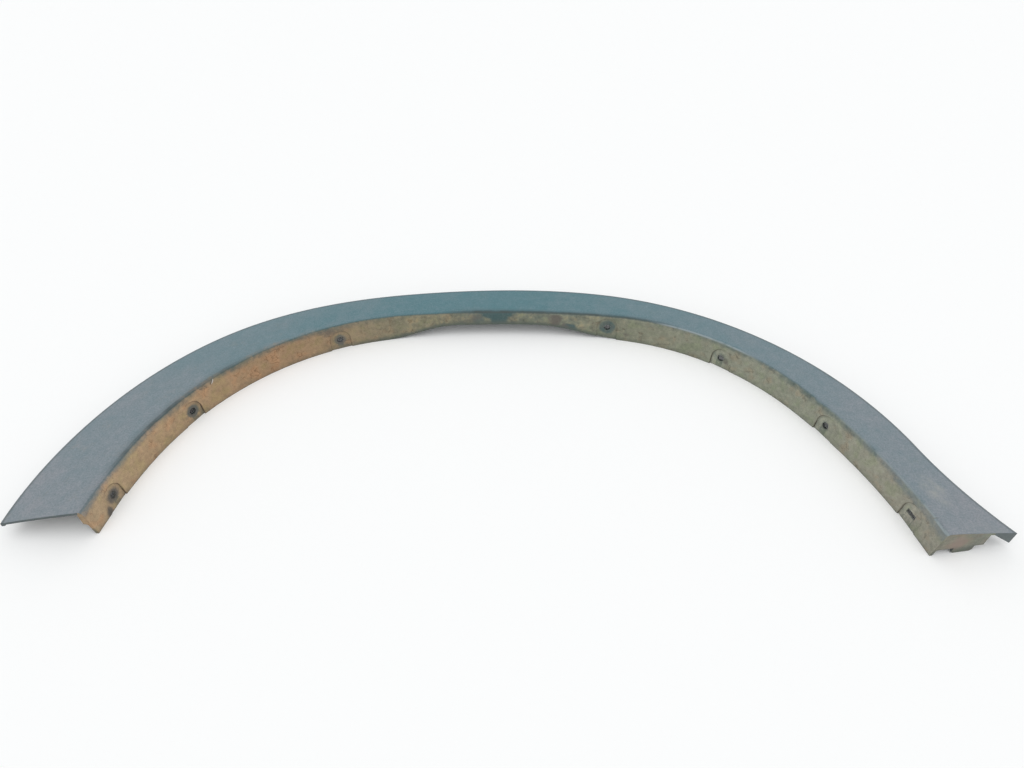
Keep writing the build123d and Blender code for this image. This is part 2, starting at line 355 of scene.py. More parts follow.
@dataclass(frozen=True)
class Value:
    """A node's output that takes part in plain arithmetic."""

    graph: "Graph"
    socket: NodeSocket

    def __add__(self, other: object) -> "Value":
        """Sum with another value or a number."""
        return self.graph.math("ADD", self, other)

    __radd__ = __add__

    def __sub__(self, other: object) -> "Value":
        """Difference from this value."""
        return self.graph.math("SUBTRACT", self, other)

    def __rsub__(self, other: float) -> "Value":
        """Difference of this value from a number."""
        return self.graph.math("SUBTRACT", other, self)

    def __mul__(self, other: object) -> "Value":
        """Product with another value or a number."""
        return self.graph.math("MULTIPLY", self, other)

    def __abs__(self) -> "Value":
        """The value without its sign."""
        return self.graph.math("ABSOLUTE", self)

    def at_least(self, other: object) -> "Value":
        """The greater of two values."""
        return self.graph.math("MAXIMUM", self, other)

    def swing(self, weight: object) -> "Value":
        """A noise that swings about 0, times a weight."""
        return (self - NOISE_MIDDLE) * weight

    def stir(self, vector: "Value", *clouds: Cloud) -> "Value":
        """The value, swung up and down by clouds of noise."""
        return sum((self.graph.noise(vector, cloud).swing(cloud.swing) for cloud in clouds), self)

    def step(self, step: Step) -> "Value":
        """Soft step along the value."""
        ends = {"From Min": step.low, "From Max": step.high, "To Min": step.before, "To Max": step.after}
        return self.graph.read("MapRange", 0, {"Value": self, **ends}, interpolation_type="SMOOTHSTEP")

    def ramp(self, stops: Stops) -> "Value":
        """Amounts or colours that change along the value.

        Args:
            stops: Places in the value's own unit, each with an amount or a colour.

        Returns:
            The amount or colour.
        """
        low, high = stops[0][0], stops[-1][0]
        share = self.graph.read("MapRange", 0, {"Value": self, "From Min": low, "From Max": high})
        made = self.graph.add("ShaderNodeValToRGB", {"Fac": share})
        made.color_ramp.interpolation = "EASE"
        elements = made.color_ramp.elements
        while len(elements) < len(stops):
            elements.new(position=0.5)
        for element, (place, amount) in zip(elements, stops):
            element.position = (place - low) / (high - low)
            colour = amount if isinstance(amount, tuple) else (amount, amount, amount)
            element.color = (*colour, 1.0)
        return Value(self.graph, made.outputs["Color"])

    def mix(self, share: object, other: object, blend: str = "MIX") -> "Value":
        """The colour, blended with a share of another one."""
        values = {0: share, MIX_FIRST: self, MIX_SECOND: other}
        return self.graph.read("Mix", MIX_RESULT, values, data_type="RGBA", blend_type=blend)

    def tint(self, share: object, other: object) -> "Value":
        """The colour, multiplied by a share of another one."""
        return self.mix(share, other, "MULTIPLY")


class Graph:
    """A node tree that is wired in plain calls."""

    def __init__(self, tree: NodeTree) -> None:
        """Keep the tree that the calls add to."""
        self.tree = tree

    @staticmethod
    def group(name: str, inputs: dict[str, str], outputs: dict[str, str]) -> tuple["Graph", dict, Node]:
        """Start a node group with named sockets.

        Args:
            name: Name of the group.
            inputs: Socket types by name.
            outputs: Socket types by name.

        Returns:
            The graph, its inputs as values by name, and its output node.
        """
        tree = bpy.data.node_groups.new(name, "ShaderNodeTree")
        for way, sockets in (("INPUT", inputs), ("OUTPUT", outputs)):
            for label, kind in sockets.items():
                tree.interface.new_socket(label, in_out=way, socket_type=f"NodeSocket{kind}")
        graph = Graph(tree)
        entry = graph.add("NodeGroupInput")
        given = {label: Value(graph, entry.outputs[label]) for label in inputs}
        return graph, given, graph.add("NodeGroupOutput")

    def fill(self, node: Node, values: dict) -> None:
        """Link a node's inputs, or set their own values.

        Args:
            node: Node that takes the values.
            values: Values, numbers or colours, by the input's name or number.
        """
        for name, value in values.items():
            socket = node.inputs[name]
            if isinstance(value, Value):
                self.tree.links.new(value.socket, socket)
            elif isinstance(value, tuple) and socket.type == "RGBA":
                socket.default_value = (*value, 1.0)
            else:
                socket.default_value = value

    def add(self, kind: str, values: dict | None = None, **settings: object) -> Node:
        """Add one node.

        Args:
            kind: Blender's name for the node type.
            values: Inputs by name or number.
            settings: Properties of the node.

        Returns:
            The node.
        """
        made = self.tree.nodes.new(kind)
        for name, value in settings.items():
            setattr(made, name, value)
        self.fill(made, values or {})
        return made

    def read(self, kind: str, output: str | int, values: dict | None = None, **settings: object) -> Value:
        """One output of a shader node that is added with these inputs and settings."""
        return Value(self, self.add(f"ShaderNode{kind}", values, **settings).outputs[output])

    def math(self, operation: str, first: object, second: object = 0.0, clamp: bool = False) -> Value:
        """Arithmetic of two values or numbers, kept from 0 to 1 if clamp is set."""
        return self.read("Math", "Value", {0: first, 1: second}, operation=operation, use_clamp=clamp)

    def noise(self, vector: Value, cloud: Cloud) -> Value:
        """Cloudy noise at some coordinates."""
        values = {"Vector": vector, "Scale": cloud.scale, "Detail": cloud.detail, "Roughness": cloud.rough}
        return self.read("TexNoise", 0, values)

    def between(self, share: object, first: object, second: object) -> Value:
        """Number between two others, by a share from 0 to 1."""
        return self.read("Mix", "Result", {"Factor": share, "A": first, "B": second})

    def layer(self, layer: Layer) -> Value:
        """Value that the surface carries."""
        return self.read("Attribute", "Fac", attribute_name=layer.value)

    def place(self) -> Value:
        """Object coordinates of the surface."""
        return self.read("TexCoord", "Object")

    def height(self) -> Value:
        """Height of the surface above the floor."""
        return self.read("SeparateXYZ", "Z", {"Vector": self.place()})

    def use(self, group: NodeTree, values: dict) -> dict[str, Value]:
        """Outputs, by name, of a shared effect with these inputs."""
        made = self.add("ShaderNodeGroup", values, node_tree=group)
        return {socket.name: Value(self, socket) for socket in made.outputs}


@dataclass(frozen=True)
class PlasticEffect:
    """Grained plastic that the sun has greyed unevenly: its patterns and how far each swings it."""

    cloud: Cloud = Cloud(22.0, 4.0, 0.6)
    blotch: Cloud = Cloud(110.0, 3.0, 0.6)
    speckle: Cloud = Cloud(620.0, 2.0, 0.6)
    pebbles: float = 1250.0
    pebble_soft: float = 0.6
    cloud_greys: float = 0.55
    blotch_greys: float = 0.40
    speckle_greys: float = 0.55
    blotch_shades: float = 0.14
    speckle_shades: float = 0.55
    speckle_roughens: float = 0.2
    pit_shade: Step = Step(0.1, 0.6, 1.02, 0.95)
    rough: Step = Step(0.0, 1.0, 0.52, 0.68)
    pebble_height: float = -0.7
    speckle_height: float = 0.4

    def group(self) -> NodeTree:
        """Build the shared effect.

        Returns:
            Group with the colour, roughness and grain height.
        """
        inputs = {"Vector": "Vector", "Greying": "Float", "Fresh": "Color", "Greyed": "Color"}
        outputs = {"Color": "Color", "Roughness": "Float", "Height": "Float"}
        graph, given, result = Graph.group("moulded_plastic", inputs, outputs)
        vector = given["Vector"]
        cloud = graph.noise(vector, self.cloud)
        blotch = graph.noise(vector, self.blotch)
        speckle = graph.noise(vector, self.speckle)
        pebbles = {"Vector": vector, "Scale": self.pebbles, "Smoothness": self.pebble_soft}
        grain = graph.read("TexVoronoi", "Distance", pebbles, feature="SMOOTH_F1")
        greying = given["Greying"] + cloud.swing(self.cloud_greys) + blotch.swing(self.blotch_greys)
        share = graph.math("ADD", greying, speckle.swing(self.speckle_greys), clamp=True)
        shade = 1.0 + speckle.swing(self.speckle_shades) + blotch.swing(self.blotch_shades)
        graph.fill(result, {
            "Color": given["Fresh"].mix(share, given["Greyed"]).tint(1.0, shade * grain.step(self.pit_shade)),
            "Roughness": share.step(self.rough) + speckle.swing(self.speckle_roughens),
            "Height": grain * self.pebble_height + speckle * self.speckle_height,
        })
        return graph.tree


@dataclass(frozen=True)
class MudEffect:
    """Film of dried mud with a ragged edge, streaks and grit: its patterns, tints and shades."""

    splash: Cloud = Cloud(48.0, 4.0, 0.6)
    stain: Cloud = Cloud(75.0, 3.0, 0.5)
    crumb: Cloud = Cloud(260.0, 4.0, 0.6)
    grit: Cloud = Cloud(1100.0, 3.0, 0.6)
    speck: Cloud = Cloud(520.0, 2.0, 0.5)
    clot: Cloud = Cloud(120.0, 3.0, 0.6)
    hair: Cloud = Cloud(85.0, 2.0, 0.5)
    splash_edges: float = 0.70
    crumb_edges: float = 0.45
    mask: Step = Step(0.02, 0.98)
    rosy: Step = Step(0.50, 0.70, 0.0, 0.8)
    rosy_tint: Colour = (1.12, 0.98, 0.91)
    olive: Step = Step(0.50, 0.30, 0.0, 0.8)
    olive_tint: Colour = (0.93, 1.00, 0.88)
    ochre: Step = Step(0.0, 0.24, 0.0, 0.6)
    ochre_tint: Colour = (1.12, 0.98, 0.80)
    speck_shade: Step = Step(0.60, 0.74, 1.0, 0.72)
    hair_line: Step = Step(0.0, 0.035, 0.30, 0.0)
    hair_where: Step = Step(0.54, 0.60)
    shade: float = 1.03
    splash_shades: float = 0.40
    crumb_shades: float = 0.75
    grit_shades: float = 0.75
    crumb_height: float = 0.7
    grit_height: float = 0.35

    def group(self) -> NodeTree:
        """Build the shared effect.

        Returns:
            Group with the mask, colour and height.
        """
        inputs = {"Vector": "Vector", "Cover": "Float", "Tone": "Color", "Mottle": "Float"}
        outputs = {"Mask": "Float", "Color": "Color", "Height": "Float"}
        graph, given, result = Graph.group("dried_mud", inputs, outputs)
        vector = given["Vector"]
        splash = graph.noise(vector, self.splash)
        stain = graph.noise(vector, self.stain)
        crumb = graph.noise(vector, self.crumb)
        grit = graph.noise(vector, self.grit)
        ragged = given["Cover"] + splash.swing(self.splash_edges) + crumb.swing(self.crumb_edges)
        mask = ragged.step(self.mask)
        rosy = given["Tone"].tint(stain.step(self.rosy), self.rosy_tint)
        olive = rosy.tint(stain.step(self.olive), self.olive_tint)
        mottle = graph.noise(vector, self.clot).swing(given["Mottle"])
        ochre = olive.tint(mottle.step(self.ochre), self.ochre_tint)
        wander = abs(graph.noise(vector, self.hair) - NOISE_MIDDLE)
        hair = wander.step(self.hair_line) * stain.step(self.hair_where)
        fleck = graph.noise(vector, self.speck).step(self.speck_shade) * (1.0 - hair)
        even = self.shade + splash.swing(self.splash_shades) + crumb.swing(self.crumb_shades)
        shade = (even + grit.swing(self.grit_shades) + mottle) * fleck
        graph.fill(result, {
            "Mask": mask,
            "Color": ochre.tint(1.0, shade),
            "Height": (crumb * self.crumb_height + grit * self.grit_height) * mask,
        })
        return graph.tree


@dataclass(frozen=True)
class SeamEffect:
    """Dark line in the step round a screw seat, strongest on the seat's deep side: painted shade of the step
    wall, in the brown of the dirt there.
    """

    line: Step = Step(0.15 * MM, 0.65 * MM, 1.0, 0.0)
    deep: Step = Step(-3 * MM, 6 * MM, 0.10, 1.0)
    breaks: Cloud = Cloud(210.0)
    broken: Step = Step(0.32, 0.50, 0.35, 1.0)
    sunk: Step = Step(-8 * MM, 7 * MM)
    inside: Step = Step(-0.8 * MM, 0.2 * MM, 1.0, 0.0)

    def group(self) -> NodeTree:
        """Build the shared effect.

        Returns:
            Group with the mask of the line and the mask of the sunk half inside it.
        """
        inputs = {"Vector": "Vector", "Along": "Float", "Up": "Float", "Radius": "Float", "Strength": "Float"}
        graph, given, result = Graph.group("seat_seam", inputs, {"Mask": "Float", "Inside": "Float"})
        along = given["Along"]
        above = given["Up"].at_least(0.0)
        beyond = graph.math("SQRT", along * along + above * above) - given["Radius"]
        broken = graph.noise(given["Vector"], self.breaks).step(self.broken)
        graph.fill(result, {
            "Mask": abs(beyond).step(self.line) * along.step(self.deep) * broken * given["Strength"],
            "Inside": along.step(self.sunk) * beyond.step(self.inside),
        })
        return graph.tree


@dataclass(frozen=True)
class FoldEffect:
    """Painted shade: a dark soft line on the face along its inner fold."""

    start: Step = Step(-0.2 * MM, 1.2 * MM)
    core: Step = Step(3 * MM, 6 * MM, 0.65, 0.0)
    fade: Step = Step(4 * MM, 14 * MM, 0.35, 0.0)
    uneven: Cloud = Cloud(60.0, swing=1.2)

    def group(self) -> NodeTree:
        """Build the shared effect.

        Returns:
            Group with the mask.
        """
        inputs = {"Vector": "Vector", "Inset": "Float", "Strength": "Float"}
        graph, given, result = Graph.group("fold_shade", inputs, {"Mask": "Float"})
        inset = given["Inset"]
        uneven = 1.0 + graph.noise(given["Vector"], self.uneven).swing(self.uneven.swing)
        line = inset.step(self.start) * (inset.step(self.core) + inset.step(self.fade))
        graph.fill(result, {"Mask": line * uneven * given["Strength"]})
        return graph.tree


class Effects:
    """Shared effects as shader node groups, built once."""

    def __init__(self) -> None:
        """Build the groups that the finishes place."""
        self.plastic = PlasticEffect().group()
        self.mud = MudEffect().group()
        self.seam = SeamEffect().group()
        self.fold = FoldEffect().group()


@dataclass(frozen=True)
class TrimPlastic:
    """Grained plastic: fresh in the shade, greyed in the open, dusty at the ends, dark at its outer edge,
    with painted shade along its fold and a painted highlight on its crest.
    """

    fresh: Colour = (0.081, 0.188, 0.216)
    greyed: Colour = (0.259, 0.273, 0.297)
    shaded: Colour = (0.052, 0.100, 0.100)
    shaded_grey: Colour = (0.150, 0.165, 0.160)
    hidden: Colour = (0.062, 0.080, 0.084)
    dust: Colour = (0.350, 0.355, 0.330)
    crest_highlight: Colour = (0.285, 0.330, 0.345)
    rim: Colour = (0.082, 0.105, 0.108)
    fold_painted_shade: Colour = (0.050, 0.066, 0.064)
    grain_depth: float = 0.12 * MM
    specular: float = 0.30
    flange_greying: float = 0.12
    edge_greying: float = 0.15
    back_greying: float = 0.10
    end_greying: float = 0.20
    bore_greying: float = 0.15
    greying: Stops = (
        (-0.54, 0.86), (-0.50, 0.82), (-0.45, 0.62), (-0.40, 0.66), (-0.30, 0.42), (-0.16, 0.24),
        (-0.10, 0.06), (0.02, 0.05), (0.28, 0.44), (0.40, 0.70), (0.46, 0.68), (0.56, 0.90),
    )
    # painted shade along the fold: its strength along the edge, how far it narrows and how much of it shows
    fold: Stops = (
        (-0.56, 0.00), (-0.49, 0.18), (-0.45, 0.72), (-0.40, 0.82), (-0.33, 0.70), (-0.29, 0.25),
        (-0.24, 0.00), (-0.08, 0.10), (-0.03, 1.00), (0.06, 1.00), (0.15, 0.85), (0.18, 0.60),
        (0.22, 0.00),
    )
    fold_narrow: Stops = ((-0.20, 1.0), (-0.03, 1.25), (0.10, 1.6))
    fold_share: float = 0.85
    drift: Cloud = Cloud(95.0, 5.0, 0.65, 1.6)
    drift_fade: Step = Step(0.0, 1.1)
    drift_where: Step = Step(0.0, 0.5)
    rim_waver: Cloud = Cloud(240.0, swing=2.2 * MM)
    rim_fade: Step = Step(1.2 * MM, 4.2 * MM, 0.62, 0.0)
    # painted highlight on the crest of the fold: its band across the crest, its breaks and its strength along
    # the edge
    crest_start: Step = Step(-0.1 * MM, 0.7 * MM)
    crest_end: Step = Step(1.3 * MM, 2.4 * MM, 1.0, 0.0)
    crest_highlight_noise: Cloud = Cloud(110.0)
    crest_highlight_breaks: Step = Step(0.22, 0.52, 0.25, 1.0)
    crest_highlight_along: Stops = (
        (0.17, 0.0), (0.20, 0.8), (0.27, 0.9), (0.31, 0.2), (0.37, 0.2), (0.42, 0.5), (0.50, 0.6),
        (0.58, 1.0),
    )


@dataclass(frozen=True)
class DriedMud:
    """Mud that has dried on the wheel side: sand and clay on the left leg, olive silt on the right; also the
    painted shade of the seat steps, holes, nick and free edge, and the painted light in the seats.
    """

    tones: Stops = (
        (-0.52, (0.410, 0.300, 0.190)), (-0.40, (0.402, 0.280, 0.170)),
        (-0.26, (0.335, 0.224, 0.133)), (-0.10, (0.225, 0.208, 0.144)),
        (0.10, (0.225, 0.228, 0.168)), (0.34, (0.262, 0.270, 0.212)), (0.52, (0.290, 0.281, 0.228)),
    )
    mottle: Stops = ((-0.16, 0.25), (-0.05, 1.60), (0.09, 1.60), (0.16, 0.30))
    crust: float = 0.5 * MM
    relief: float = 0.8
    rough: float = 0.93
    # painted light on the sunk half of each seat, and its share along the edge
    seat_painted_light: Colour = (1.36, 1.34, 1.34)
    seat_painted_light_share: Stops = ((0.20, 0.0), (0.25, 0.9), (0.40, 0.9), (0.52, 1.0))
    # dark brown of the painted shade in the seat steps and beside the nick
    seam: Colour = (0.070, 0.050, 0.036)
    # darker colour towards the free edge and the foot of the end wall; in the thin line along the free edge
    # it is painted contact shadow
    low_dark: Colour = (0.092, 0.112, 0.096)
    foot: Stops = ((-0.26, 0.25), (-0.11, 0.85), (0.09, 0.90), (0.16, 0.35), (0.30, 0.15))
    foot_waver: Cloud = Cloud(130.0, 4.0, swing=5 * MM)
    foot_darkening: Step = Step(1 * MM, 7.5 * MM, 1.0, 0.0)
    # painted contact shadow in the thin line along the free edge
    foot_lip_shadow: Step = Step(0.4 * MM, 1.5 * MM, 0.55, 0.0)
    stain: Colour = (0.125, 0.112, 0.098)
    smear: Cloud = Cloud(170.0, 4.0, 0.6, 0.7)
    smear_grit: Cloud = Cloud(560.0, swing=0.5)
    smear_fade: Step = Step(0.05, 0.95)
    smear_where: Step = Step(0.0, 0.2)
    nick: Colour = (0.520, 0.490, 0.450)
    nick_station: float = -0.3405
    nick_height: float = 29.2 * MM
    nick_length: float = 3 * MM
    nick_width: float = 0.62 * MM
    nick_lean: float = math.radians(46.0)
    nick_spot: Step = Step(0.4, 1.2, 1.0, 0.0)
    nick_fold: Step = Step(0.5 * MM, 2 * MM, 1.0, 0.0)
    # painted shadow beside the nick: a dark copy of it moved away from the crown
    nick_shadow_aside: float = 1.5 * MM
    nick_shadow_share: float = 0.8
    back_cover: float = 0.30
    back_share: float = 0.45
    end_cover: float = 0.92
    end_shade: Stops = ((0.016, (0.80, 0.79, 0.77)), (0.034, (0.70, 0.73, 0.75)))
    end_waver: Cloud = Cloud(140.0, swing=6 * MM)
    end_foot_darkening: Step = Step(3 * MM, 12 * MM, 0.6, 0.0)
    rosy: Colour = (0.285, 0.222, 0.185)
    rosy_place: Place = (0.405, -0.182, 0.016)
    rosy_waver: Cloud = Cloud(130.0, 4.0, swing=14 * MM)
    rosy_fade: Step = Step(15 * MM, 4.5 * MM, 0.0, 0.9)
    # colour of the hole walls along the edge: dirt with painted shade of the holes
    bore: Stops = (
        (-0.50, (0.170, 0.160, 0.145)), (-0.37, (0.085, 0.096, 0.088)),
        (-0.20, (0.150, 0.146, 0.146)), (0.10, (0.018, 0.030, 0.030)), (0.28, (0.026, 0.034, 0.030)),
        (0.40, (0.050, 0.052, 0.046)), (0.52, (0.270, 0.272, 0.250)),
    )


@dataclass(frozen=True)
class Finishes:
    """Makes the moulding's materials from its plastic and its mud."""

    effects: Effects
    plastic: TrimPlastic = TrimPlastic()
    mud: DriedMud = DriedMud()

    def begin(self, name: str) -> tuple[Material, Graph, Node]:
        """Start a material.

        Args:
            name: Name of the finish.

        Returns:
            The material, its graph and its surface shader.
        """
        made = bpy.data.materials.new(name)
        made.use_nodes = True
        made.node_tree.nodes.clear()
        graph = Graph(made.node_tree)
        shader = graph.add("ShaderNodeBsdfPrincipled", {"Specular IOR Level": self.plastic.specular})
        graph.add("ShaderNodeOutputMaterial", {"Surface": Value(graph, shader.outputs["BSDF"])})
        return made, graph, shader

    def moulded(self, graph: Graph, greying: object, fresh: object, greyed: Colour) -> dict[str, Value]:
        """Outputs of the moulded plastic, between a fresh and a greyed colour."""
        values = {"Vector": graph.place(), "Greying": greying, "Fresh": fresh, "Greyed": greyed}
        return graph.use(self.effects.plastic, values)

    def film(self, graph: Graph, cover: object) -> dict[str, Value]:
        """Place the dried mud.

        Args:
            graph: Tree of the material.
            cover: How much mud lies there.

        Returns:
            The effect's outputs.
        """
        station = graph.layer(Layer.STATION)
        values = {"Tone": station.ramp(self.mud.tones), "Mottle": station.ramp(self.mud.mottle)}
        return graph.use(self.effects.mud, {"Vector": graph.place(), "Cover": cover, **values})

    def bump(self, height: Value, depth: float, **under: Value) -> Value:
        """Normal of a relief of some depth in metres, over another normal if one is given."""
        values = {"Height": height, "Distance": depth, "Strength": self.mud.relief}
        return height.graph.read("Bump", "Normal", {**values, **under})

    def weathered_and_painted(self, graph: Graph, face: Value, flange: Value) -> Value:
        """Bare plastic from the flange over the fold to the outer edge, with dust, the dark outer edge,
        painted shade along the fold and a painted highlight on the crest.

        Args:
            graph: Tree of the material.
            face: Colour of the face's plastic.
            flange: Colour of the flange's plastic.

        Returns:
            The colour.
        """
        look = self.plastic
        place = graph.place()
        station = graph.layer(Layer.STATION)
        inset = graph.layer(Layer.INSET)
        laid = graph.layer(Layer.DUST)
        drift = laid.stir(place, look.drift).step(look.drift_fade) * laid.step(look.drift_where)
        dusty = flange.mix(graph.layer(Layer.SIDE), face).mix(drift, look.dust)
        narrow = inset * station.ramp(look.fold_narrow)
        strength = station.ramp(look.fold)
        # painted shade along the fold
        fold = graph.use(self.effects.fold, {"Vector": place, "Inset": narrow, "Strength": strength})
        dark = dusty.mix(fold["Mask"] * look.fold_share, look.fold_painted_shade)
        rim = graph.layer(Layer.RIM).stir(place, look.rim_waver).step(look.rim_fade)
        # painted highlight along the crest
        crest = inset.step(look.crest_start) * inset.step(look.crest_end)
        crest_highlight_breaks = graph.noise(place, look.crest_highlight_noise).step(look.crest_highlight_breaks)
        return dark.mix(rim, look.rim).mix(crest * crest_highlight_breaks * station.ramp(look.crest_highlight_along), look.crest_highlight)

    def nick(self, graph: Graph, aside: float) -> Value:
        """Small leaning nick under the fold of the left leg; moved aside, it places the nick's painted
        shadow.

        Args:
            graph: Tree of the material.
            aside: How far it is moved away from the crown, in metres.

        Returns:
            Its mask.
        """
        mud = self.mud
        along = graph.layer(Layer.STATION) - (mud.nick_station - aside)
        up = graph.height() - mud.nick_height
        sine, cosine = math.sin(mud.nick_lean), math.cos(mud.nick_lean)
        long = (along * cosine + up * sine) * (1.0 / mud.nick_length)
        wide = (along * sine - up * cosine) * (1.0 / mud.nick_width)
        spot = (long * long + wide * wide).step(mud.nick_spot)
        return spot * graph.layer(Layer.INSET).step(mud.nick_fold)

    def skin(self) -> Material:
        """Face and wheel side: sun-greyed plastic, mud on the flange, dirt round the holes, a darker foot,
        painted shade in the fold, the seat steps, beside the nick and along the free edge, painted light in
        the seats and a painted highlight on the crest.

        Returns:
            The material.
        """
        made, graph, shader = self.begin("weathered_and_painted_skin")
        look, mud = self.plastic, self.mud
        place = graph.place()
        station = graph.layer(Layer.STATION)
        face = self.moulded(graph, station.ramp(look.greying), look.fresh, look.greyed)
        flange = self.moulded(graph, look.flange_greying, look.shaded, look.shaded_grey)
        film = self.film(graph, graph.layer(Layer.MUD))
        muddy = self.weathered_and_painted(graph, face["Color"], flange["Color"]).mix(film["Mask"], film["Color"])
        seam = graph.use(self.effects.seam, {
            "Vector": place,
            "Along": graph.layer(Layer.ALONG),
            "Up": graph.layer(Layer.UP),
            "Radius": Seat.radius,
            "Strength": graph.layer(Layer.SEAM),
        })
        # painted light on the sunk half of each seat
        seat_painted_light = muddy.tint(seam["Inside"] * station.ramp(mud.seat_painted_light_share), mud.seat_painted_light)
        rise = graph.layer(Layer.RISE)
        low_dark = rise.stir(place, mud.foot_waver).step(mud.foot_darkening) * station.ramp(mud.foot)
        # darker towards the free edge, with painted contact shadow in the thin line along it
        foot = seat_painted_light.mix(low_dark.at_least(rise.step(mud.foot_lip_shadow)), mud.low_dark)
        laid = graph.layer(Layer.STAIN)
        smear = laid.stir(place, mud.smear, mud.smear_grit).step(mud.smear_fade) * laid.step(mud.smear_where)
        # real stain, then painted shade in the seat steps
        seamed = foot.mix(smear, mud.stain).mix(seam["Mask"], mud.seam)
        # painted shadow beside the nick
        nick_shadowed = seamed.mix(self.nick(graph, mud.nick_shadow_aside) * mud.nick_shadow_share, mud.seam)
        grain = self.bump(face["Height"], look.grain_depth)
        graph.fill(shader, {
            "Base Color": nick_shadowed.mix(self.nick(graph, 0.0), mud.nick),
            "Roughness": graph.between(film["Mask"], face["Roughness"], mud.rough),
            "Normal": self.bump(film["Height"], mud.crust, Normal=grain),
        })
        return made

    def plain(self, name: str, greying: float, fresh: Colour, dust: float = 0.0) -> Material:
        """Plastic that is out of the sun.

        Args:
            name: Name of the finish.
            greying: How grey it is.
            fresh: Colour of the plastic.
            dust: How thick the brown dust on it is.

        Returns:
            The material.
        """
        made, graph, shader = self.begin(name)
        plastic = self.moulded(graph, greying, fresh, self.plastic.shaded_grey)
        colour = plastic["Color"]
        if dust:
            film = self.film(graph, self.mud.back_cover)
            colour = colour.mix(film["Mask"] * dust, film["Color"])
        grain = self.bump(plastic["Height"], self.plastic.grain_depth)
        graph.fill(shader, {"Base Color": colour, "Roughness": plastic["Roughness"], "Normal": grain})
        return made

    def end(self) -> Material:
        """End wall and flange ends: a film of mud with a rosy stain, darker towards its foot.

        Returns:
            The material.
        """
        made, graph, shader = self.begin("stained_end")
        look, mud = self.plastic, self.mud
        place = graph.place()
        plastic = self.moulded(graph, look.end_greying, look.shaded, look.shaded_grey)
        film = self.film(graph, mud.end_cover)
        away = graph.read("VectorMath", "Value", {0: place, 1: mud.rosy_place}, operation="DISTANCE")
        rosy = away.stir(place, mud.rosy_waver).step(mud.rosy_fade)
        dull = film["Color"].tint(1.0, graph.layer(Layer.INSET).ramp(mud.end_shade))
        muddy = plastic["Color"].mix(film["Mask"], dull.mix(rosy, mud.rosy))
        # darker towards the foot of the end wall
        low_dark = graph.height().stir(place, mud.end_waver).step(mud.end_foot_darkening)
        graph.fill(shader, {
            "Base Color": muddy.mix(low_dark, mud.low_dark),
            "Roughness": graph.between(film["Mask"], plastic["Roughness"], mud.rough),
            "Normal": self.bump(film["Height"], mud.crust),
        })
        return made

    def bore(self) -> Material:
        """Walls of the screw holes and the slot: dark plastic with dirt and painted shade of the holes.

        Returns:
            The material.
        """
        made, graph, shader = self.begin("bore_dirt_and_shade")
        # dirt and painted shade of the holes, along the edge
        dirt = graph.layer(Layer.STATION).ramp(self.mud.bore)
        plastic = self.moulded(graph, self.plastic.bore_greying, dirt, self.plastic.hidden)
        graph.fill(shader, {"Base Color": plastic["Color"], "Roughness": plastic["Roughness"]})
        return made

    def all(self) -> dict[Zone, Material]:
        """Make every finish.

        Returns:
            Material of each zone.
        """
        look = self.plastic
        return {
            Zone.SKIN: self.skin(),
            Zone.EDGE: self.plain("dark_edge", look.edge_greying, look.rim),
            Zone.BACK: self.plain("dusty_back", look.back_greying, look.hidden, self.mud.back_share),
            Zone.END: self.end(),
            Zone.BORE: self.bore(),
        }


@dataclass(frozen=True)
class ZoneLimits:
    """What sorts the facets into zones: lengths in metres, and facings as parts of a facet's normal."""

    end_line: float = -0.150
    end_aside: float = 0.36
    end_facing: float = -0.9
    end_front: float = -2 * MM
    end_wall: float = 52 * MM
    left_foot: float = 11 * MM
    left_top: float = 6.5 * MM
    left_fold: float = 27.5 * MM
    bore_reach: float = 6.5 * MM
    bore_facing: float = 0.5
    face_depth: float = 4.5 * MM
    edge_outside: float = 35 * MM
    edge_outside_end: float = 60 * MM
    edge_facing: float = 0.45
    edge_under: float = -0.4
    outer_facing: float = 0.7
    up_facing: float = 0.6
    flange_depth: float = 4.2 * MM
    flange_facing: float = 0.3
    wheel_facing: float = -0.1
    wheel_depth: float = 1.5 * MM


@dataclass(frozen=True)
class Relief:
    """Cloudy relief of the mud: size and height of its lumps, its octaves and the level that stays put."""

    name: str
    size: float
    height: float
    octaves: int = 2
    level: float = 0.25


